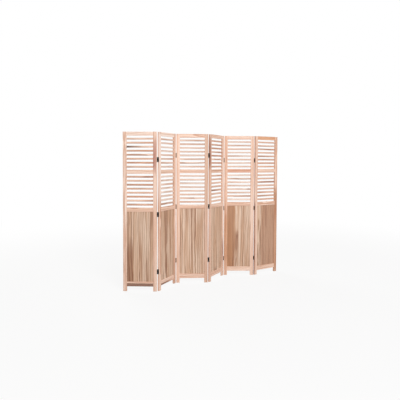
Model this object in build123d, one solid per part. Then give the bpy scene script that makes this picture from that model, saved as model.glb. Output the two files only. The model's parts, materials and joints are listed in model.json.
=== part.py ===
from build123d import *
from math import cos, radians, sin
import os

# A folding screen of six louvred wooden panels, in millimetres.
# The origin is on the floor, under the middle of the screen as it stands.
# +X runs along the screen from its first panel to its last, -Y is its front, +Z is up.

# One panel of the screen
panel_height = 1650
panel_width = 350
frame_thickness = 18

# Stiles and rails of a panel, all of one thickness
stile_width = 38
foot_height = 51
bottom_rail_height = 50
lock_rail_height = 43
middle_rail_height = 42
top_rail_height = 41
eased_edge = 1

# Mortise and tenon joints between rails and stiles
tenon_length = 22
tenon_thickness = 7
tenon_shoulder = 2
mortise_end_gap = 0.5

# Fixed slats, let into slanted housings in the stiles
louvre_bay_height = 348
slats_per_bay = 8
slat_thickness = 5
slat_tilt = 57
slat_setback = 1.2
slat_margin = 30.5
slat_housing_depth = 8
slat_end_gap = 0.4
slat_clearance = 0.1

# Tongued and grooved boards that close the lower half
board_count = 4
board_thickness = 8
board_groove_depth = 8
board_clearance = 0.1
board_end_gap = 1
board_seam = 0.4
seam_chamfer = 1
tongue_length = 5
tongue_thickness = 2.6
tongue_clearance = 0.15

# Steel butt hinges, screwed to the edges of the stiles
hinge_height = 50
leaf_reach = 18
leaf_thickness = 1.2
pin_radius = 1.5
pin_clearance = 0.05
knuckle_gap = 0.2
knuckle_flats = 12
low_hinge_rise = 203
high_hinge_drop = 285
hinge_stagger = 50

# How the screen stands: the turn at each joint, where 0 is flat and 180 is folded shut
first_heading = -2.0
fold_turns = (66.0, 61.0, 58.0, 59.5, 31.5)
raised_joints = (2, 3)

# Levels and places that follow from the sizes above
bottom_rail_top = foot_height + bottom_rail_height
top_rail_level = panel_height - top_rail_height
middle_rail_level = top_rail_level - louvre_bay_height - middle_rail_height
lock_rail_level = middle_rail_level - louvre_bay_height - lock_rail_height
rails = {
    "bottom_rail": (foot_height, bottom_rail_height),
    "lock_rail": (lock_rail_level, lock_rail_height),
    "middle_rail": (middle_rail_level, middle_rail_height),
    "top_rail": (top_rail_level, top_rail_height),
}

frame_middle = frame_thickness / 2
opening_width = panel_width - 2 * stile_width
slat_thickness_across = slat_thickness * sin(radians(slat_tilt))
slat_room = frame_thickness - 2 * slat_setback - slat_thickness_across
slat_width = slat_room / cos(radians(slat_tilt))

knuckle_radius = pin_radius + leaf_thickness
knuckle_height = hinge_height / 3
hinge_levels = (
    low_hinge_rise,
    lock_rail_level + lock_rail_height / 2 - hinge_stagger,
    panel_height - high_hinge_drop,
)


def block(x, y, z):
    """A box from its low and high value along each axis."""
    size = (x[1] - x[0], y[1] - y[0], z[1] - z[0])
    return Pos(x[0], y[0], z[0]) * Box(*size, align=(Align.MIN, Align.MIN, Align.MIN))


def around(middle, width):
    """The low and high value of a width laid evenly about its middle."""
    return (middle - width / 2, middle + width / 2)


def single(shape):
    """The one solid that a shape holds."""
    return shape.solids()[0]


def slat_levels():
    """Heights of the slat centres, in both louvred bays."""
    pitch = (louvre_bay_height - 2 * slat_margin) / (slats_per_bay - 1)
    highest = (top_rail_level - slat_margin, middle_rail_level - slat_margin)
    return [level - pitch * i for level in highest for i in range(slats_per_bay)]


def place_slat(bar, level):
    """Lay a bar across the opening, tilted so that its front edge is the lower one."""
    return Pos(panel_width / 2, frame_middle, level) * Rot(slat_tilt, 0, 0) * bar


def make_slats():
    length = opening_width + 2 * (slat_housing_depth - slat_end_gap)
    slat = Box(length, slat_width, slat_thickness)
    return [place_slat(slat, level) for level in slat_levels()]


def tenon_span(level, height):
    """The low and high value of a rail's tenon, clear of any groove in the rail's edges."""
    inset = board_groove_depth + tenon_shoulder
    return (level + inset, level + height - inset)


def board_groove_width():
    """The low and high value, across the frame, of the grooves that hold the boards."""
    return around(frame_middle, board_thickness + 2 * board_clearance)


def make_left_stile():
    """The full-height upright on a panel's left, whose lower end is a foot."""
    stile = block((0, stile_width), (0, frame_thickness), (0, panel_height))
    stile = chamfer(stile.edges(), eased_edge)
    mortise_depth = (stile_width - tenon_length - mortise_end_gap, stile_width)
    tenon_width = around(frame_middle, tenon_thickness)
    mortises = [block(mortise_depth, tenon_width, tenon_span(*rail)) for rail in rails.values()]
    board_groove = block(
        (stile_width - board_groove_depth, stile_width),
        board_groove_width(),
        (bottom_rail_top - board_groove_depth, lock_rail_level + board_groove_depth),
    )
    housing = Box(
        opening_width + 2 * slat_housing_depth,
        slat_width + 2 * slat_clearance,
        slat_thickness + 2 * slat_clearance,
    )
    housings = [place_slat(housing, level) for level in slat_levels()]
    return single(stile - mortises - board_groove - housings)


def make_rail(level, height, groove_above=False, groove_below=False):
    """A rail with a stub tenon at each end, grooved where it holds the boards."""
    length = (stile_width, panel_width - stile_width)
    rail = block(length, (0, frame_thickness), (level, level + height))
    rail = chamfer(rail.edges().filter_by(Axis.X), eased_edge)
    tenon_tips = (length[0] - tenon_length, length[1] + tenon_length)
    rail += block(tenon_tips, around(frame_middle, tenon_thickness), tenon_span(level, height))
    if groove_above:
        top = level + height
        rail -= block(length, board_groove_width(), (top - board_groove_depth, top))
    if groove_below:
        rail -= block(length, board_groove_width(), (level, level + board_groove_depth))
    return single(rail)


def make_board(left, right, has_groove, has_tongue):
    """One board, whose corners beside a tongue or groove are chamfered so that the seam shows."""
    front, back = around(frame_middle, board_thickness)
    tongue_front, tongue_back = around(frame_middle, tongue_thickness)
    groove_front, groove_back = around(frame_middle, tongue_thickness + 2 * tongue_clearance)
    groove_end = left + tongue_length + board_seam
    outline = [(left, back), (left, front)]
    if has_groove:
        outline = [
            (left + seam_chamfer, back),
            (left, back - seam_chamfer),
            (left, groove_back),
            (groove_end, groove_back),
            (groove_end, groove_front),
            (left, groove_front),
            (left, front + seam_chamfer),
            (left + seam_chamfer, front),
        ]
    if has_tongue:
        outline += [
            (right - seam_chamfer, front),
            (right, front + seam_chamfer),
            (right, tongue_front),
            (right + tongue_length, tongue_front),
            (right + tongue_length, tongue_back),
            (right, tongue_back),
            (right, back - seam_chamfer),
            (right - seam_chamfer, back),
        ]
    else:
        outline += [(right, front), (right, back)]
    foot = bottom_rail_top - board_groove_depth
    height = lock_rail_level + board_groove_depth - board_end_gap - foot
    section = make_face(Polyline(*outline, close=True))
    return single(Pos(0, 0, foot) * extrude(section, amount=height, dir=(0, 0, 1)))


def make_boards():
    """The boards stand side by side in the grooves of the stiles and rails."""
    first_edge = stile_width - board_groove_depth + board_end_gap
    last_edge = panel_width - first_edge
    pitch = (last_edge - first_edge + board_seam) / board_count
    boards = []
    for i in range(board_count):
        left = first_edge + i * pitch
        right = left + pitch - board_seam
        boards.append(make_board(left, right, i > 0, i < board_count - 1))
    return boards


def knuckle(radius, span):
    """Rolled sheet about the hinge axis, drawn with flats that lie at the given radius."""
    section = Rot(0, 0, 180 / knuckle_flats) * RegularPolygon(radius, knuckle_flats, False)
    return Pos(0, 0, span[0]) * extrude(section, amount=span[1] - span[0])


def make_hinge_leaf(side, wood_side, holds_pin):
    """A leaf about its pin at the origin, with the two outer knuckles and the pin riveted into
    them, or with the middle knuckle, which turns on the pin.
    side is -1 for the leaf on the left panel's edge and 1 for the one on the right panel's.
    wood_side is -1 where the wood lies in front of the pin, and 1 where it lies behind."""
    half = hinge_height / 2
    split = knuckle_height / 2
    middle = (-split, split)
    if holds_pin:
        knuckles = [(-half, -split), (split, half)]
        notches = [middle]
    else:
        knuckles = [(-split + knuckle_gap, split - knuckle_gap)]
        notches = [(-half, -split + knuckle_gap), (split - knuckle_gap, half)]
    thickness = sorted((side * pin_radius, side * knuckle_radius))
    leaf = block(thickness, sorted((0, wood_side * leaf_reach)), (-half, half))
    notch_depth = sorted((0, wood_side * (knuckle_radius + knuckle_gap)))
    leaf -= [block(thickness, notch_depth, span) for span in notches]
    leaf += [knuckle(knuckle_radius, span) for span in knuckles]
    if holds_pin:
        leaf += Cylinder(pin_radius - pin_clearance, knuckle_height)
    else:
        leaf -= knuckle(pin_radius, middle)
    return single(leaf)


def place_panels():
    """Each panel's place, and each joint's pin, for the turns that the screen stands at."""
    heading = first_heading
    panels = [Location((0, 0, 0), (0, 0, heading))]
    pins = []
    for i, turn in enumerate(fold_turns):
        folds_back = i % 2 == 0
        heading += turn if folds_back else -turn
        pin_depth = frame_thickness + knuckle_radius if folds_back else -knuckle_radius
        pin = (panels[i] * Pos(panel_width + knuckle_radius, pin_depth, 0)).position
        turned = Location(tuple(pin), (0, 0, heading))
        pins.append(pin)
        panels.append(turned * Pos(knuckle_radius, -pin_depth, 0))
    corners = [
        (panel * Pos(x, y, 0)).position
        for panel in panels
        for x in (0, panel_width)
        for y in (0, frame_thickness)
    ]
    middle_x = (min(c.X for c in corners) + max(c.X for c in corners)) / 2
    middle_y = (min(c.Y for c in corners) + max(c.Y for c in corners)) / 2
    to_origin = Pos(-middle_x, -middle_y, 0)
    return [to_origin * panel for panel in panels], [(to_origin * Pos(pin)).position for pin in pins]


def make_joint_leaves(joint, side):
    """The leaves of one joint that are screwed to one of its two panels, at every hinge level."""
    folds_back = joint % 2 == 1
    wood_side = -1 if folds_back else 1
    leaf = make_hinge_leaf(side, wood_side, holds_pin=side < 0)
    panel = panel_places[joint - 1 if side < 0 else joint]
    pin = pin_places[joint - 1]
    rise = hinge_stagger if joint in raised_joints else 0
    turn = tuple(panel.orientation)
    return [Location((pin.X, pin.Y, level + rise), turn) * leaf for level in hinge_levels]


def write_node(name, solids):
    """One file for each node, which may hold a group of like solids."""
    node = solids[0] if len(solids) == 1 else Compound(children=solids)
    export_step(node, f"parts/{name}.step")


os.makedirs("parts", exist_ok=True)
panel_places, pin_places = place_panels()

left_stile = make_left_stile()
panel_pieces = {
    "left_stile": [left_stile],
    "right_stile": [left_stile.mirror(Plane.YZ.offset(panel_width / 2))],
    "bottom_rail": [make_rail(*rails["bottom_rail"], groove_above=True)],
    "lock_rail": [make_rail(*rails["lock_rail"], groove_below=True)],
    "middle_rail": [make_rail(*rails["middle_rail"])],
    "top_rail": [make_rail(*rails["top_rail"])],
    "louvre_slats": make_slats(),
    "boards": make_boards(),
}
for number, place in enumerate(panel_places, start=1):
    for piece, solids in panel_pieces.items():
        write_node(f"panel_{number}_{piece}", [place * solid for solid in solids])

for joint in range(1, len(pin_places) + 1):
    write_node(f"hinge_{joint}_{joint + 1}_pin_leaves", make_joint_leaves(joint, -1))
    write_node(f"hinge_{joint}_{joint + 1}_free_leaves", make_joint_leaves(joint, 1))
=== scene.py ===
import json
import math
import random

import bmesh
import bpy
from mathutils import Matrix, Vector

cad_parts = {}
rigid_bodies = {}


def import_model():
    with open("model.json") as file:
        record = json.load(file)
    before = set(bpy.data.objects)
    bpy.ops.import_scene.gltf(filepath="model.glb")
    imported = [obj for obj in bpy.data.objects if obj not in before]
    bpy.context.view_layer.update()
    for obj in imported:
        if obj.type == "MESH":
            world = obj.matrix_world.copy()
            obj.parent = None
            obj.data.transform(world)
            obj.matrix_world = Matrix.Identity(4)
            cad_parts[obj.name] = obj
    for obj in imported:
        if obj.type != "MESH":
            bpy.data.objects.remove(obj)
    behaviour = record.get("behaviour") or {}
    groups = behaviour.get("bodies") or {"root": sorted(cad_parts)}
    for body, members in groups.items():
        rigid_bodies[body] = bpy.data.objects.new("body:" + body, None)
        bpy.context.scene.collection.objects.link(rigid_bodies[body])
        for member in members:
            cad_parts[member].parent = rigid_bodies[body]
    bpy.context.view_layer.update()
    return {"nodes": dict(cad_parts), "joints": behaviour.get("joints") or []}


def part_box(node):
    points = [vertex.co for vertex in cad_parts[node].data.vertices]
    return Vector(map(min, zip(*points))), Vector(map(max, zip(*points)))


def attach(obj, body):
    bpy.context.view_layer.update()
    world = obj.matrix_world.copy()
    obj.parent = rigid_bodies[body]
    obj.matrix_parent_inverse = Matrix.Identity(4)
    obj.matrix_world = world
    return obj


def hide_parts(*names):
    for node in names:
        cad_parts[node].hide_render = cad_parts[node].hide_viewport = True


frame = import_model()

bpy.context.scene.view_settings.view_transform = "Standard"

# Stiles: the two uprights of each panel, planed from pine and clear lacquered. The rails are mortised
# into them, the slats and boards are let into their inner edges, and their lower ends are the feet.
# They stand as the CAD solids and get only their wood.
MM = 0.001
panel_numbers = range(1, 7)
stile_tones = ("#EFD2C0", "#E2BBA3", "#C99E80")
stile_year_width = 14
stile_streaks = 0.25
stile_seed = 10
# A noise seldom goes below the first of these or above the second
noise_low, noise_high = 0.3, 0.7
# Each noise is shifted at random, so that no two pieces have the same grain
noise_shifts = (1, 9)
# Where a piece is darker or paler than the rest: the tone, how far the patch reaches across the
# piece and along it, counted from its middle, and how far the patch's sides stray, in mm
colour_patches = {
    "panel_1_left_stile": ("#F6DFD0", (-30, 30), (-100, 1200), 10),
    "panel_1_right_stile": ("#AF7668", (-19, 16), (470, 750), 20),
    "panel_2_left_stile": ("#F3DDD1", (-30, 30), (100, 1200), 10),
    "panel_2_right_stile": ("#D0A78F", (-19, 19), (-1200, -300), 10),
    "panel_3_right_stile": ("#D2AD96", (-19, 19), (-1200, 1200), 10),
    "panel_4_left_stile": ("#9A6450", (-20, 6), (520, 800), 20),
    "panel_4_right_stile": ("#9A6A5C", (-19, 12), (-580, -450), 20),
    "panel_5_left_stile": ("#C9946F", (-19, 19), (-760, -50), 20),
    "panel_6_left_stile": ("#B98A74", (-30, -8), (-820, 0), 20),
    "panel_6_right_stile": ("#BC8660", (-19, 19), (-820, 120), 20),
}


def linear(hex_colour):
    """The linear red, green, blue and alpha of an sRGB colour such as #D2B08C."""
    values = [int(hex_colour[i:i + 2], 16) / 255 for i in (1, 3, 5)]
    return [v / 12.92 if v <= 0.04045 else ((v + 0.055) / 1.055) ** 2.4 for v in values] + [1.0]


def empty_material(name):
    """A material with nothing in its node tree."""
    material = bpy.data.materials.new(name)
    material.use_nodes = True
    material.node_tree.nodes.clear()
    return material


def add_node(tree, kind, inputs=(), **settings):
    """Add a shader node with its settings. Each input, named or in order, is a value, or a node or
    an output that is linked to it."""
    node = tree.nodes.new("ShaderNode" + kind)
    for setting, value in settings.items():
        setattr(node, setting, value)
    shown = [socket for socket in node.inputs if socket.enabled]
    named = {socket.name: socket for socket in reversed(shown)}
    for key, value in inputs.items() if isinstance(inputs, dict) else enumerate(inputs):
        socket = named[key] if isinstance(key, str) else shown[key]
        if isinstance(value, bpy.types.Node):
            value = next(output for output in value.outputs if output.enabled)
        if isinstance(value, bpy.types.NodeSocket):
            tree.links.new(value, socket)
        else:
            socket.default_value = value
    return node


def place_in_wood(tree, centre, turn):
    """The place in a piece of wood, in metres, with the grain along z. It is counted from the
    piece's middle, where that and the piece's turn are given, or is the mesh's own place_in_log."""
    if centre is None:
        return add_node(tree, "Attribute", attribute_name="place_in_log").outputs["Vector"]
    place = add_node(tree, "TexCoord").outputs["Object"]
    return add_node(tree, "Mapping", {"Vector": place, "Location": centre, "Rotation": turn},
                    vector_type="TEXTURE")


def rows_apart(tree, in_piece, row_pitch, chance):
    """The place in the log for pieces in a row, each of which is cut from another part of it."""
    furthest_apart = (90 * MM, 30 * MM, 3000 * MM)
    row_shifts = (1, 50)
    across = add_node(tree, "SeparateXYZ", (in_piece,))
    row = add_node(tree, "Math", (across, row_pitch), operation="DIVIDE")
    row = add_node(tree, "Math", (row,), operation="FLOOR")
    row = add_node(tree, "Math", (row, chance.uniform(*row_shifts)), operation="ADD")
    thrown = add_node(tree, "TexWhiteNoise", (row,), noise_dimensions="1D").outputs["Color"]
    return add_node(tree, "VectorMath", (thrown, furthest_apart, in_piece), operation="MULTIPLY_ADD")


def year_rings(tree, in_log, wander, year_width, chance):
    """How dark the year rings are, and how far the place is from the pith, which mostly lies outside
    the piece. A ring darkens slowly through its year and ends sharply, and some rings are darker."""
    most_wander = (50 * MM, 30 * MM, 0)
    pith_aside = 50 * MM
    pith_nearest, pith_furthest = 20 * MM, 60 * MM
    late_wood_starts, late_wood_full, year_ends = 0.25, 0.9, 0.93
    faintest_ring, darkest_ring = 0.2, 0.72
    wandered = add_node(tree, "VectorMath", (wander, most_wander), operation="MULTIPLY")
    wandered = add_node(tree, "VectorMath", (wandered, in_log), operation="ADD")
    pith = (chance.uniform(-pith_aside, pith_aside), chance.uniform(pith_nearest, pith_furthest), 0)
    from_pith = add_node(tree, "VectorMath", (wandered, pith), operation="ADD")
    from_pith = add_node(tree, "VectorMath", (from_pith, (1, 1, 0)), operation="MULTIPLY")
    radius = add_node(tree, "VectorMath", (from_pith,), operation="LENGTH").outputs["Value"]
    years = add_node(tree, "Math", (radius, year_width * MM), operation="DIVIDE")
    season = add_node(tree, "Math", (years,), operation="FRACT")
    late = add_node(tree, "MapRange", (season, late_wood_starts, late_wood_full),
                    interpolation_type="SMOOTHSTEP")
    until_next = add_node(tree, "MapRange", (season, year_ends, 1.0, 1.0, 0.0))
    late = add_node(tree, "Math", (late, until_next), operation="MULTIPLY")
    year = add_node(tree, "Math", (years,), operation="FLOOR")
    strength = add_node(tree, "TexWhiteNoise", (year,), noise_dimensions="1D")
    strength = add_node(tree, "MapRange", (strength, 0.0, 1.0, faintest_ring, darkest_ring))
    return add_node(tree, "Math", (late, strength), operation="MULTIPLY"), radius


def stain_streaks(tree, in_log, radius, streaks, chance):
    """How strong the streaks of mineral stain are, which follow the rings. streaks is 0 for almost
    none and 1 for many."""
    streak_width = 11.11 * MM
    streak_length = 769 * MM
    start_with_none, start_with_many = 0.7, 0.4
    streak_softness = 0.16
    strongest_streak = 0.6
    along = add_node(tree, "SeparateXYZ", (in_log,)).outputs["Z"]
    place = add_node(tree, "CombineXYZ", (radius, 0.0, along))
    place = add_node(tree, "Mapping", {"Vector": place, "Scale": (1 / streak_width, 1, 1 / streak_length),
                                       "Location": [chance.uniform(*noise_shifts) for _ in range(3)]})
    streak = add_node(tree, "TexNoise", {"Vector": place, "Scale": 1.0, "Detail": 2.0})
    start = start_with_none + (start_with_many - start_with_none) * streaks
    streak = add_node(tree, "MapRange", (streak, start, start + streak_softness),
                      interpolation_type="SMOOTHSTEP")
    return add_node(tree, "Math", (streak, strongest_streak), operation="MULTIPLY")


def inside_patch(tree, in_piece, wander, across_reach, along_reach, side_stray):
    """How much of a patch's tone shows: a large share inside its ragged, soft sides, and none
    outside them."""
    share_inside = 0.8
    end_stray = 500
    blur_share = 0.2
    ragged = add_node(tree, "VectorMath", (wander, (side_stray * MM, 0, end_stray * MM), in_piece),
                      operation="MULTIPLY_ADD")
    ragged = add_node(tree, "SeparateXYZ", (ragged,))
    inside = share_inside
    for axis, reach, stray in (("X", across_reach, side_stray), ("Z", along_reach, end_stray)):
        blur = stray * blur_share
        for side, inward in zip(reach, (1, -1)):
            middle = side + stray / 2
            start, end = (middle - inward * blur) * MM, (middle + inward * blur) * MM
            past_side = add_node(tree, "MapRange", (ragged.outputs[axis], start, end),
                                 interpolation_type="SMOOTHSTEP")
            inside = add_node(tree, "Math", (past_side, inside), operation="MULTIPLY")
    return inside


def planed_pine(piece, seed, tones, year_width, streaks, centre=None, turn=None, row_pitch=None,
                patch=None, heart_tone=None):
    """Pine, planed and clear lacquered: pale and a little pink, with year rings and browner streaks
    that follow them, under a satin film. The tones are the early wood's, where it is pale and where
    it is darker, and the stain of late wood and streaks. The rings of pine, 2 to 5 mm wide, and its
    fibres, under 0.1 mm, are too fine to show, so they are drawn coarser.
    Where row_pitch is given, the wood changes from one piece of a row to the next, at that pitch. A
    patch is one of colour_patches, a darker or paler tone over part of the piece. Where heart_tone is
    given, the mesh's own heartwood says how far the wood turns that dark."""
    # Each noise's size in mm, across the grain and along it, and its detail
    noise_sizes = (("wander", 110, 450, 2), ("tone", 30, 600, 3), ("fibres", 1.6, 70, 3))
    tone_starts, tone_full = 0.35, 0.65
    heart_fade = 2.0
    darkest_fibre, palest_fibre = 0.89, 1.06
    roughest, smoothest = 0.6, 0.48
    late_wood_sinks = -0.5
    relief_strength = 0.3
    relief_height = 0.15 * MM

    wood = empty_material(f"planed_pine_{piece}")
    tree = wood.node_tree
    chance = random.Random(seed)
    pale, darker, stain = (linear(tone) for tone in tones)
    in_piece = place_in_wood(tree, centre, turn)
    in_log = rows_apart(tree, in_piece, row_pitch, chance) if row_pitch else in_piece

    noises = {}
    for use, across, along, detail in noise_sizes:
        shift = [chance.uniform(*noise_shifts) for _ in range(3)]
        scale = (1 / (across * MM), 1 / (across * MM), 1 / (along * MM))
        stretched = add_node(tree, "Mapping", {"Vector": in_log, "Location": shift, "Scale": scale})
        noises[use] = add_node(tree, "TexNoise", {"Vector": stretched, "Scale": 1.0, "Detail": detail})
    wander = noises["wander"].outputs["Color"]
    fibres = noises["fibres"]

    late, radius = year_rings(tree, in_log, wander, year_width, chance)
    streak = stain_streaks(tree, in_log, radius, streaks, chance)
    tone = add_node(tree, "MapRange", (noises["tone"], tone_starts, tone_full),
                    interpolation_type="SMOOTHSTEP")
    colour = add_node(tree, "Mix", (tone, pale, darker), data_type="RGBA")
    if patch:
        patch_tone, *patch_reach = patch
        inside = inside_patch(tree, in_piece, wander, *patch_reach)
        colour = add_node(tree, "Mix", (inside, colour, linear(patch_tone)), data_type="RGBA")
    if heart_tone:
        heart = add_node(tree, "Attribute", attribute_name="heartwood").outputs["Fac"]
        heart = add_node(tree, "Math", (heart, heart_fade), operation="POWER")
        colour = add_node(tree, "Mix", (heart, colour, linear(heart_tone)), data_type="RGBA")
    for stained in (late, streak):
        colour = add_node(tree, "Mix", (stained, colour, stain), data_type="RGBA", blend_type="MULTIPLY")
    shade = add_node(tree, "MapRange", (fibres, noise_low, noise_high, darkest_fibre, palest_fibre))
    colour = add_node(tree, "VectorMath", {"Vector": colour, "Scale": shade}, operation="SCALE")

    gloss = add_node(tree, "MapRange", (fibres, noise_low, noise_high, roughest, smoothest))
    relief = add_node(tree, "Math", (late, late_wood_sinks, fibres), operation="MULTIPLY_ADD")
    bump = add_node(tree, "Bump", {"Height": relief, "Strength": relief_strength,
                                   "Distance": relief_height})
    shader = add_node(tree, "BsdfPrincipled", {"Base Color": colour, "Roughness": gloss, "IOR": 1.5,
                                               "Normal": bump})
    add_node(tree, "OutputMaterial", (shader,))
    return wood


def centre_of(node):
    """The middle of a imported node's box."""
    low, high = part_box(node)
    return (low + high) / 2


def heading_of(number):
    """The direction in which a panel runs, from its left stile to its right one."""
    run = centre_of(f"panel_{number}_right_stile") - centre_of(f"panel_{number}_left_stile")
    return math.atan2(run.y, run.x)


def dress(node, material):
    """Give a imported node's own object the material in all its slots."""
    packed = frame["nodes"][node].data
    packed.materials.clear()
    packed.materials.append(material)


for number in panel_numbers:
    for i, side in enumerate(("left", "right")):
        node = f"panel_{number}_{side}_stile"
        wood = planed_pine(node, stile_seed * number + i, stile_tones, stile_year_width,
                           stile_streaks, centre_of(node), (0, 0, heading_of(number)),
                           patch=colour_patches.get(node))
        dress(node, wood)

# Rails: four cross pieces to a panel, of the same wood and thickness as the stiles, with a stub
# tenon glued in at both ends. Their grain runs across the panel. The lock rail and the bottom rail
# are grooved for the boards.
rail_year_width = 12
rail_streaks = 0.35
rail_seed = 100
colour_patches.update({
    "panel_1_top_rail": ("#F7E3D6", (-30, 30), (-300, 300), 10),
    "panel_1_bottom_rail": ("#6E452F", (-9, 40), (-300, 300), 10),
    "panel_2_top_rail": ("#F7E3D6", (-30, 30), (-300, 300), 10),
    "panel_2_bottom_rail": ("#774A32", (4, 40), (-200, 90), 20),
    "panel_5_middle_rail": ("#D9A186", (-22, 22), (-200, 200), 20),
    "panel_6_top_rail": ("#D9A075", (-22, 22), (-200, 200), 20),
})
for number in panel_numbers:
    for i, level in enumerate(("top", "middle", "lock", "bottom")):
        node = f"panel_{number}_{level}_rail"
        wood = planed_pine(node, rail_seed * number + i, stile_tones, rail_year_width, rail_streaks,
                           centre_of(node), (0, math.pi / 2, heading_of(number)),
                           patch=colour_patches.get(node))
        dress(node, wood)

# Louvre slats: sixteen to a panel in two bays, thin strips of the same wood with their long edges
# rounded over, housed at a slant in the stiles with the front edge lower, and fixed.
# They take the place of the plain bars of the CAD model.
slat_count = 16
slat_tilt = math.radians(57)
slat_length = 289.2 * MM
slat_width = 20.94 * MM
slat_thickness = 5 * MM
slat_edge_radius = 1.2 * MM
slat_edge_steps = 3
slat_log_reach = (50 * MM, 30 * MM, 9000 * MM)
pale_slat_tones = ("#EBD8CB", "#DAB5A0", "#B08868")
# On panels 4 and 6 these browner slat tones are partly painted shade. Those slats, seen at a slant, lie
# in shade, and that shade is painted into their colour on top of browner wood. On panel 1 the tones are
# browner wood only.
brown_and_shaded_slat_tones = ("#EBCBB6", "#D3A083", "#935E3A")
brown_and_shaded_slat_panels = (1, 4, 6)
slat_heart_tone = "#482416"
# On which panel, and in which row, from 0 at the bottom, a slat's left end is dark, and how dark
dark_left_ends = {1: {13: 1.0, 15: 0.55, 12: 0.4, 8: 0.5, 5: 0.4}, 4: {3: 0.8}, 6: {11: 0.5}}
slat_year_width = 7
slat_streaks = 0.6
slat_seed = 1000


def levels_of(node, count):
    """Heights of the middles of so many like pieces, which stand one above the other in a node."""
    heights = sorted(v.co.z for v in frame["nodes"][node].data.vertices)
    corners = len(heights) // count
    pieces = [heights[i:i + corners] for i in range(0, len(heights), corners)]
    return [(piece[0] + piece[-1]) / 2 for piece in pieces]


def finish_piece(name, whole, material):
    """Turn a bmesh into a piece of the scene, smooth but for its sharp edges."""
    sharp_from = math.radians(35)
    mesh = bpy.data.meshes.new(name)
    whole.to_mesh(mesh)
    whole.free()
    mesh.shade_smooth()
    mesh.set_sharp_from_angle(angle=sharp_from)
    mesh.materials.append(material)
    piece = bpy.data.objects.new(name, mesh)
    bpy.context.scene.collection.objects.link(piece)
    return piece


def add_slat(whole, place, left_end, chance):
    """Add a slat to a bmesh. Its left end is as dark as left_end says, and fades to the right."""
    before = set(whole.verts)
    size = Matrix.Diagonal((slat_length, slat_width, slat_thickness, 1))
    bar = bmesh.ops.create_cube(whole, size=1, matrix=size)["verts"]
    edges = {edge for corner in bar for edge in corner.link_edges}
    long_edges = [edge for edge in edges if edge.calc_length() > slat_length / 2]
    bmesh.ops.bevel(whole, geom=long_edges, offset=slat_edge_radius, segments=slat_edge_steps,
                    profile=0.5, affect="EDGES")
    place_in_log = whole.verts.layers.float_vector["place_in_log"]
    heartwood = whole.verts.layers.float["heartwood"]
    log_shift = Vector([chance.uniform(-reach, reach) for reach in slat_log_reach])
    added = [v for v in whole.verts if v not in before]
    for v in added:
        v[place_in_log] = Vector((v.co.y, v.co.z, v.co.x)) + log_shift
        v[heartwood] = left_end if v.co.x < 0 else 0.0
    bmesh.ops.transform(whole, matrix=place, verts=added)


for number in panel_numbers:
    node = f"panel_{number}_louvre_slats"
    whole = bmesh.new()
    whole.verts.layers.float_vector.new("place_in_log")
    whole.verts.layers.float.new("heartwood")
    chance = random.Random(number)
    middle = centre_of(node)
    stand = Matrix.Rotation(heading_of(number), 4, "Z") @ Matrix.Rotation(slat_tilt, 4, "X")
    for row, level in enumerate(levels_of(node, slat_count)):
        place = Matrix.Translation((middle.x, middle.y, level)) @ stand
        add_slat(whole, place, dark_left_ends.get(number, {}).get(row, 0.0), chance)
    tones = brown_and_shaded_slat_tones if number in brown_and_shaded_slat_panels else pale_slat_tones
    wood = planed_pine(node, slat_seed * number, tones, slat_year_width, slat_streaks,
                       heart_tone=slat_heart_tone)
    slats = finish_piece(f"slats_{number}", whole, wood)
    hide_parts(node)
    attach(slats, f"panel_{number}")

# Boards: four thin upright boards fill the lower half of each panel, tongued and grooved into one
# another and loose in the frame's grooves. They are sawn from browner stock than the frame, across
# wide year rings, so that stripes and flames show.
board_pitch = 72.1 * MM
board_tones = ("#DFC4AE", "#CBA68A", "#A77F60")
board_year_width = 18
board_streaks = 0.6
board_seed = 2000
colour_patches.update({
    "panel_1_boards": ("#98694A", (-150, -72), (-600, 0), 1),
    "panel_5_boards": ("#A8734B", (-190, -50), (-900, 900), 60),
    "panel_6_boards": ("#BC9074", (-72, 150), (-600, 600), 1),
})
for number in panel_numbers:
    node = f"panel_{number}_boards"
    wood = planed_pine(node, board_seed * number, board_tones, board_year_width, board_streaks,
                       centre_of(node), (0, 0, heading_of(number)), board_pitch,
                       colour_patches.get(node))
    dress(node, wood)

# Hinges: three small butt hinges at each joint, pressed from 1.2 mm steel sheet, rolled round the
# pin, and painted black. The leaf on the left panel has two knuckles, in which the pin is riveted
# over, and the leaf on the right panel has the one between, which turns on it. Sizes are in mm.
hinges_per_joint = 3
hinge_height = 50
knuckle_height = hinge_height / 3
leaf_reach = 18
leaf_thickness = 1.2
leaf_corner = 2
leaf_corner_steps = 6
pressed_edge_radius = 0.15
circle_steps = 24
pin_radius = 1.5
pin_clearance = 0.05
barrel_radius = pin_radius + leaf_thickness
knuckle_gap = 0.2
knuckle_wrap = math.radians(300)
knuckle_steps = 26
rivet_radius = 2.3
rivet_rise = 0.9
rivet_dome_turns = (0, 0.5, 1.0, 1.5)
screw_reach = 10.8
screw_levels = (-14, 14)
screw_hole_radius = 3.5


def black_painted_steel():
    """Black stove paint on steel sheet: even and satin, with the faint ripple of thick paint."""
    paint_tones = ("#0C0B0B", "#161413")
    smoothest, roughest = 0.42, 0.55
    ripple_width = 2.5 * MM
    ripple_strength = 0.2
    ripple_height = 0.1 * MM
    paint = empty_material("black_painted_steel")
    tree = paint.node_tree
    place = add_node(tree, "TexCoord").outputs["Object"]
    ripple = add_node(tree, "TexNoise", {"Vector": place, "Scale": 1 / ripple_width, "Detail": 2.0})
    colour = add_node(tree, "Mix", (ripple, *map(linear, paint_tones)), data_type="RGBA")
    gloss = add_node(tree, "MapRange", (ripple, noise_low, noise_high, smoothest, roughest))
    bump = add_node(tree, "Bump", {"Height": ripple, "Strength": ripple_strength,
                                   "Distance": ripple_height})
    shader = add_node(tree, "BsdfPrincipled", {"Base Color": colour, "Roughness": gloss, "Normal": bump})
    add_node(tree, "OutputMaterial", (shader,))
    return paint


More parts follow.
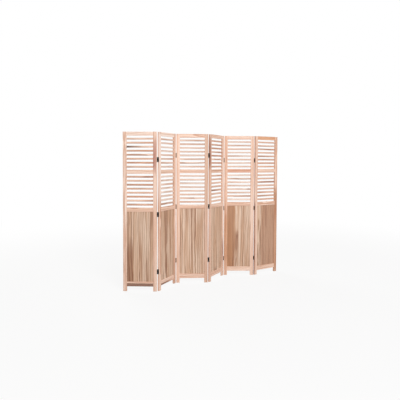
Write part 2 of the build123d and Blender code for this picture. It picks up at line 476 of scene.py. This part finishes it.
def pressed_sheet(outline, holes, thickness):
    """A flat sheet between two faces square to z, with holes and softened edges."""
    drawing = bpy.data.curves.new("drawing", "CURVE")
    drawing.dimensions = "2D"
    drawing.fill_mode = "BOTH"
    drawing.extrude = thickness / 2 - pressed_edge_radius
    drawing.bevel_depth = pressed_edge_radius
    drawing.offset = -pressed_edge_radius
    for points in [outline, *holes]:
        line = drawing.splines.new("POLY")
        line.points.add(len(points) - 1)
        line.use_cyclic_u = True
        for point, (x, y) in zip(line.points, points):
            point.co = (x, y, 0, 1)
    drawn = bpy.data.objects.new("drawing", drawing)
    sheet = bpy.data.meshes.new_from_object(drawn)
    bpy.data.objects.remove(drawn)
    bpy.data.curves.remove(drawing)
    return sheet


def circle(x, y, radius, start=0, sweep=360, steps=circle_steps):
    """Points round a circle, or along an arc of it, in order."""
    count = steps if sweep == 360 else steps + 1
    turns = [math.radians(start + sweep * i / steps) for i in range(count)]
    return [(x + radius * math.cos(t), y + radius * math.sin(t)) for t in turns]


def leaf_outline(own, notches):
    """A leaf laid flat, with x its reach from the pin and y its height. It reaches the pin's middle
    at its own knuckles and is cut away at the other leaf's."""
    corner_x = leaf_reach - leaf_corner
    corner_y = hinge_height / 2 - leaf_corner
    outer = circle(corner_x, -corner_y, leaf_corner, -90, 90, leaf_corner_steps)
    outer += circle(corner_x, corner_y, leaf_corner, 0, 90, leaf_corner_steps)
    stretches = [(0, span) for span in own] + [(barrel_radius + knuckle_gap, span) for span in notches]
    stretches.sort(key=lambda stretch: -stretch[1][1])
    return outer + [(reach, level) for reach, (low, high) in stretches for level in (high, low)]


def rolled_knuckle(whole, low, high):
    """Sheet rolled round the pin from the leaf's plane, which is at x above 0, until it nearly
    meets the leaf again. y points to the leaf."""
    inner = pin_radius + pin_clearance
    section = ((inner, low), (barrel_radius, low), (barrel_radius, high), (inner, high))
    rings = []
    for i in range(knuckle_steps + 1):
        turn = knuckle_wrap * i / knuckle_steps
        x, y = math.cos(turn), -math.sin(turn)
        rings.append([whole.verts.new((x * radius, y * radius, z)) for radius, z in section])
    for near, far in zip(rings, rings[1:]):
        for i in range(4):
            whole.faces.new((near[i], near[i - 1], far[i - 1], far[i]))
    whole.faces.new(rings[0])
    whole.faces.new(reversed(rings[-1]))


def turned(whole, profile):
    """A turned piece about z, from the radius and height of each point of its profile."""
    same_point = 0.001
    points = [whole.verts.new((radius, 0, height)) for radius, height in profile]
    lines = [whole.edges.new(pair) for pair in zip(points, points[1:])]
    bmesh.ops.spin(whole, geom=points + lines, axis=(0, 0, 1), cent=(0, 0, 0), angle=2 * math.pi,
                   steps=circle_steps, use_merge=True)
    bmesh.ops.remove_doubles(whole, verts=whole.verts, dist=same_point)


def joined(whole, sheet, name):
    """One mesh of a bmesh and a pressed sheet, both of which it uses up."""
    whole.from_mesh(sheet)
    bpy.data.meshes.remove(sheet)
    bmesh.ops.recalc_face_normals(whole, faces=whole.faces)
    mesh = bpy.data.meshes.new(name)
    whole.to_mesh(mesh)
    whole.free()
    return mesh


def hinge_leaf(holds_pin):
    """One leaf about its pin, with its plane at x above 0 and its reach along y."""
    half = hinge_height / 2
    split = knuckle_height / 2
    if holds_pin:
        own = [(-half, -split), (split, half)]
        notches = [(-split, split)]
    else:
        own = [(-split + knuckle_gap, split - knuckle_gap)]
        notches = [(-half, -split + knuckle_gap), (split - knuckle_gap, half)]
    holes = [circle(screw_reach, level, screw_hole_radius) for level in screw_levels]
    sheet = pressed_sheet(leaf_outline(own, notches), holes, leaf_thickness)
    # The sheet's reach turns to y and its height to z, and its middle plane stands beside the pin
    sheet.transform(Matrix(((0, 0, 1, pin_radius + leaf_thickness / 2),
                            (1, 0, 0, 0),
                            (0, 1, 0, 0),
                            (0, 0, 0, 1))))
    whole = bmesh.new()
    for low, high in own:
        rolled_knuckle(whole, low, high)
    if holds_pin:
        shank = pin_radius - pin_clearance
        dome = [(rivet_radius * math.cos(t), half + rivet_rise * math.sin(t)) for t in rivet_dome_turns]
        dome.append((0, half + rivet_rise))
        lower_dome = [(radius, -height) for radius, height in reversed(dome)]
        turned(whole, lower_dome + [(shank, -half), (shank, half)] + dome)
    return joined(whole, sheet, "leaf")


def set_out(mesh, places):
    """Copies of a mesh at several places, as one bmesh."""
    whole = bmesh.new()
    for place in places:
        copy = mesh.copy()
        copy.transform(place)
        if place.determinant() < 0:
            copy.flip_normals()
        whole.from_mesh(copy)
        bpy.data.meshes.remove(copy)
    return whole


def leaf_places(joint, side):
    """The body and node of the leaves on one side of a joint, and where each leaf stands. side is
    -1 on the left panel and 1 on the right one. The wood lies in front of the pin where the joint
    folds back, and behind it where the joint folds forward."""
    wood_side = -1 if joint["axis"][2] > 0 else 1
    body, kind = (joint["parent"], "pin") if side < 0 else (joint["child"], "free")
    node = f"hinge_{joint['name'].removeprefix('fold_')}_{kind}_leaves"
    heading = heading_of(int(body.removeprefix("panel_")))
    pin_x, pin_y, _ = joint["pos_m"]
    shape = Matrix.Diagonal((side * MM, wood_side * MM, MM, 1))
    turn = Matrix.Rotation(heading, 4, "Z")
    return body, node, [Matrix.Translation((pin_x, pin_y, level)) @ turn @ shape
                        for level in levels_of(node, hinges_per_joint)]


hinge_black = black_painted_steel()
leaf_meshes = {-1: hinge_leaf(holds_pin=True), 1: hinge_leaf(holds_pin=False)}
for joint in frame["joints"]:
    for side, leaf in leaf_meshes.items():
        body, node, places = leaf_places(joint, side)
        leaves = finish_piece(node + "_rolled", set_out(leaf, places), hinge_black)
        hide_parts(node)
        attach(leaves, body)

# Hinge screws: two countersunk screws with a cross recess hold each leaf, flush with its face and
# driven into the edge of the stile. They are steel, blackened in a bath. Sizes are in mm.
screw_head_radius = 3.35
screw_head_rim = 0.5
screw_head_height = 2.2
screw_shank_radius = 1.5
screw_length = 14
screw_tip_length = 3
recess_reach = 1.9
recess_width = 0.75


def blackened_steel():
    """Steel blackened in a bath: dark grey metal, a little shinier than the painted leaf."""
    steel_tones = ("#4A4846", "#6A6866")
    smoothest, roughest = 0.3, 0.42
    mottle_width = 1.2 * MM
    steel = empty_material("blackened_steel")
    tree = steel.node_tree
    place = add_node(tree, "TexCoord").outputs["Object"]
    mottle = add_node(tree, "TexNoise", {"Vector": place, "Scale": 1 / mottle_width, "Detail": 2.0})
    colour = add_node(tree, "Mix", (mottle, *map(linear, steel_tones)), data_type="RGBA")
    gloss = add_node(tree, "MapRange", (mottle, noise_low, noise_high, smoothest, roughest))
    shader = add_node(tree, "BsdfPrincipled", {"Base Color": colour, "Roughness": gloss, "Metallic": 1.0})
    add_node(tree, "OutputMaterial", (shader,))
    return steel


def countersunk_screw():
    """A screw along z, with the face of its head at 0."""
    half = recess_width / 2
    arm = ((recess_reach, -half), (recess_reach, half), (half, half))
    cross = []
    for cosine, sine in ((1, 0), (0, 1), (-1, 0), (0, -1)):
        cross += [(cosine * x - sine * y, sine * x + cosine * y) for x, y in arm]
    face = pressed_sheet(circle(0, 0, screw_head_radius), [cross], screw_head_rim)
    face.transform(Matrix.Translation((0, 0, -screw_head_rim / 2)))
    whole = bmesh.new()
    turned(whole, [(0, -screw_head_rim), (screw_head_radius, -screw_head_rim),
                   (screw_shank_radius, -screw_head_height),
                   (screw_shank_radius, -screw_length + screw_tip_length), (0, -screw_length)])
    return joined(whole, face, "screw")


screw_black = blackened_steel()
screw = countersunk_screw()
head_to_joint = Matrix.Rotation(math.radians(-90), 4, "Y")
seats = [Matrix.Translation((pin_radius, screw_reach, level)) @ head_to_joint for level in screw_levels]
for joint in frame["joints"]:
    for side in (-1, 1):
        body, node, places = leaf_places(joint, side)
        screw_places = [place @ seat for place in places for seat in seats]
        screws = finish_piece(node + "_screws", set_out(screw, screw_places), screw_black)
        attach(screws, body)

# Studio: a white floor that keeps the screen's soft shadow and fades into a white backdrop, a large
# soft lamp high in front on the right, a weaker one behind, and even light from all round.
floor_reach = 15
floor_tone = "#CFCECD"
clear_floor, far_floor = 2.0, 6.0
least_glow, most_glow = 0.88, 1.0
room_light = 0.38
backdrop_light = 1.0
white = (1, 1, 1, 1)


def seen_directly(tree):
    """1 where the camera looks, straight, by a reflection or through glass, and 0 for light on the
    screen."""
    rays = add_node(tree, "LightPath").outputs
    seen = rays["Is Camera Ray"]
    for kind in ("Is Glossy Ray", "Is Transmission Ray"):
        seen = add_node(tree, "Math", (seen, rays[kind]), operation="MAXIMUM")
    return seen


def matt_white_floor():
    """Matt white paint: it takes a soft shadow near the screen and is plain white far from it."""
    paint = empty_material("matt_white_floor")
    tree = paint.node_tree
    place = add_node(tree, "TexCoord").outputs["Object"]
    distance = add_node(tree, "VectorMath", (place,), operation="LENGTH").outputs["Value"]
    glow_share = add_node(tree, "MapRange", (distance, clear_floor, far_floor, least_glow, most_glow),
                          interpolation_type="SMOOTHSTEP")
    glow_share = add_node(tree, "Math", (seen_directly(tree), glow_share), operation="MULTIPLY")
    matt = add_node(tree, "BsdfDiffuse", {"Color": linear(floor_tone)})
    glow = add_node(tree, "Emission", {"Color": white, "Strength": backdrop_light})
    both = add_node(tree, "MixShader", (glow_share, matt, glow))
    add_node(tree, "OutputMaterial", (both,))
    return paint


floor_mesh = bpy.data.meshes.new("floor")
floor_corners = [(floor_reach * x, floor_reach * y, 0) for x, y in ((-1, -1), (1, -1), (1, 1), (-1, 1))]
floor_mesh.from_pydata(floor_corners, [], [(0, 1, 2, 3)])
floor_mesh.materials.append(matt_white_floor())
floor = bpy.data.objects.new("floor", floor_mesh)
bpy.context.scene.collection.objects.link(floor)

world = bpy.data.worlds.new("studio")
bpy.context.scene.world = world
world.use_nodes = True
tree = world.node_tree
tree.nodes.clear()
room = add_node(tree, "Background", {"Color": white, "Strength": room_light})
backdrop = add_node(tree, "Background", {"Color": white, "Strength": backdrop_light})
both = add_node(tree, "MixShader", (seen_directly(tree), room, backdrop))
add_node(tree, "OutputWorld", (both,))

# Each lamp's name, place and size in metres, and power in watts
lamp_aim = Vector((0, 0, 0.9))
for lamp_name, lamp_place, lamp_size, lamp_power in (
    ("front_softbox", Vector((3.0, -7.4, 5.5)), 3, 640),
    ("back_softbox", Vector((-4.5, 6.5, 4.5)), 4, 420),
):
    light = bpy.data.lights.new(lamp_name, "AREA")
    light.size = lamp_size
    light.energy = lamp_power
    lamp = bpy.data.objects.new(lamp_name, light)
    lamp.location = lamp_place
    lamp.rotation_euler = (lamp_aim - lamp_place).to_track_quat("-Z", "Y").to_euler()
    bpy.context.scene.collection.objects.link(lamp)

# Camera: a little left of the middle, 1.34 m above the floor and 4.4 m in front of the screen's
# nearest edge, looking slightly down, as the photograph was taken. Its lens is shifted down a
# little, which the photograph's framing needs.
camera_place = (-0.0774, -4.892, 1.3405)
camera_pitch = math.radians(90 - 2.52)
camera_roll = math.radians(-0.22)
camera_focal_length = 39.1
camera_sensor_width = 36
camera_shift_down = 0.0467

camera_data = bpy.data.cameras.new("camera")
camera_data.sensor_width = camera_sensor_width
camera_data.lens = camera_focal_length
camera_data.shift_y = -camera_shift_down
camera = bpy.data.objects.new("camera", camera_data)
camera.location = camera_place
camera.rotation_euler = (camera_pitch, camera_roll, 0)
bpy.context.scene.collection.objects.link(camera)
bpy.context.scene.camera = camera
